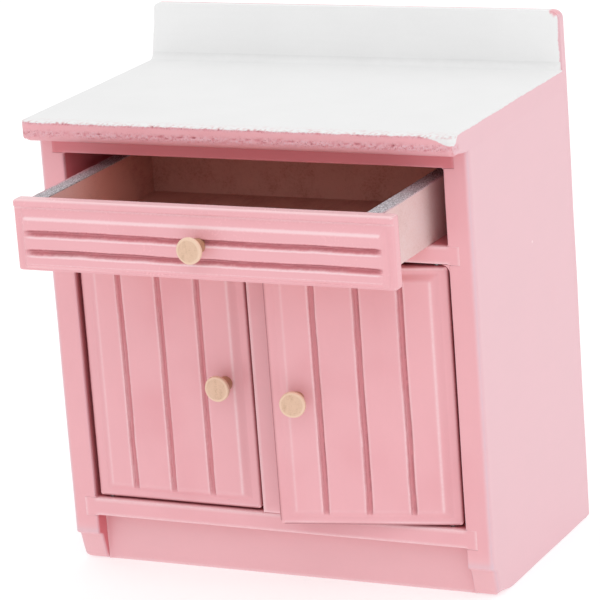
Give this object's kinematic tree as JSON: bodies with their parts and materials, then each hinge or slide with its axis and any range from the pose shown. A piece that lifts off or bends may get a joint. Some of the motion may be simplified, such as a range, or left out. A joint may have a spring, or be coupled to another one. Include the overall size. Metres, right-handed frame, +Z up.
{
  "type": "doll's-house kitchen base cabinet",
  "caption": "Miniature painted wooden kitchen base cabinet with a sliding drawer over a pair of grooved doors, and a worktop with a raised back.",
  "frame": {"origin": "centre of the footprint box on the floor, measured as the part stands at rest with its drawer pulled out and its right door ajar", "axes": "+Z up, -Y towards the front where the drawer and doors open, +X to the right of someone facing the front"},
  "size_m": [0.078, 0.067, 0.0899],
  "materials": {
    "pink_paint": "satin paint, brushed by hand over fibreboard",
    "white_paint": "satin white paint",
    "bare_wood": "unpainted fibreboard, sawn edges",
    "turned_birch": "turned and sanded, unvarnished",
    "steel_pin": "plain wire"
  },
  "bodies": {
    "carcass": {"left_side_panel": "pink_paint", "right_side_panel": "pink_paint", "back_panel": "pink_paint", "worktop": "white_paint", "bottom_board": "pink_paint", "drawer_shelf": "pink_paint", "top_rail": "pink_paint", "centre_stile": "pink_paint", "toe_kick_board": "pink_paint"},
    "drawer": {"drawer_front": "pink_paint", "drawer_left_side": "bare_wood", "drawer_right_side": "bare_wood", "drawer_back": "bare_wood", "drawer_bottom": "bare_wood", "drawer_knob": "turned_birch"},
    "left_leaf": {"left_door": "pink_paint", "left_door_knob": "turned_birch", "left_door_top_pin": "steel_pin", "left_door_bottom_pin": "steel_pin"},
    "right_leaf": {"right_door": "pink_paint", "right_door_knob": "turned_birch", "right_door_top_pin": "steel_pin", "right_door_bottom_pin": "steel_pin"}
  },
  "joints": [
    {"name": "drawer_slide", "type": "slide", "parent": "carcass", "child": "drawer", "axis": [0, -1, 0], "range_m": [-0.0164, 0.012]},
    {"name": "left_door_hinge", "type": "hinge", "parent": "carcass", "child": "left_leaf", "pos_m": [-0.03175, -0.0088, 0.0347], "axis": [0, 0, -1], "range_deg": [0, 105]},
    {"name": "right_door_hinge", "type": "hinge", "parent": "carcass", "child": "right_leaf", "pos_m": [0.03175, -0.0088, 0.0347], "axis": [0, 0, 1], "range_deg": [-12.3, 92.7]}
  ]
}
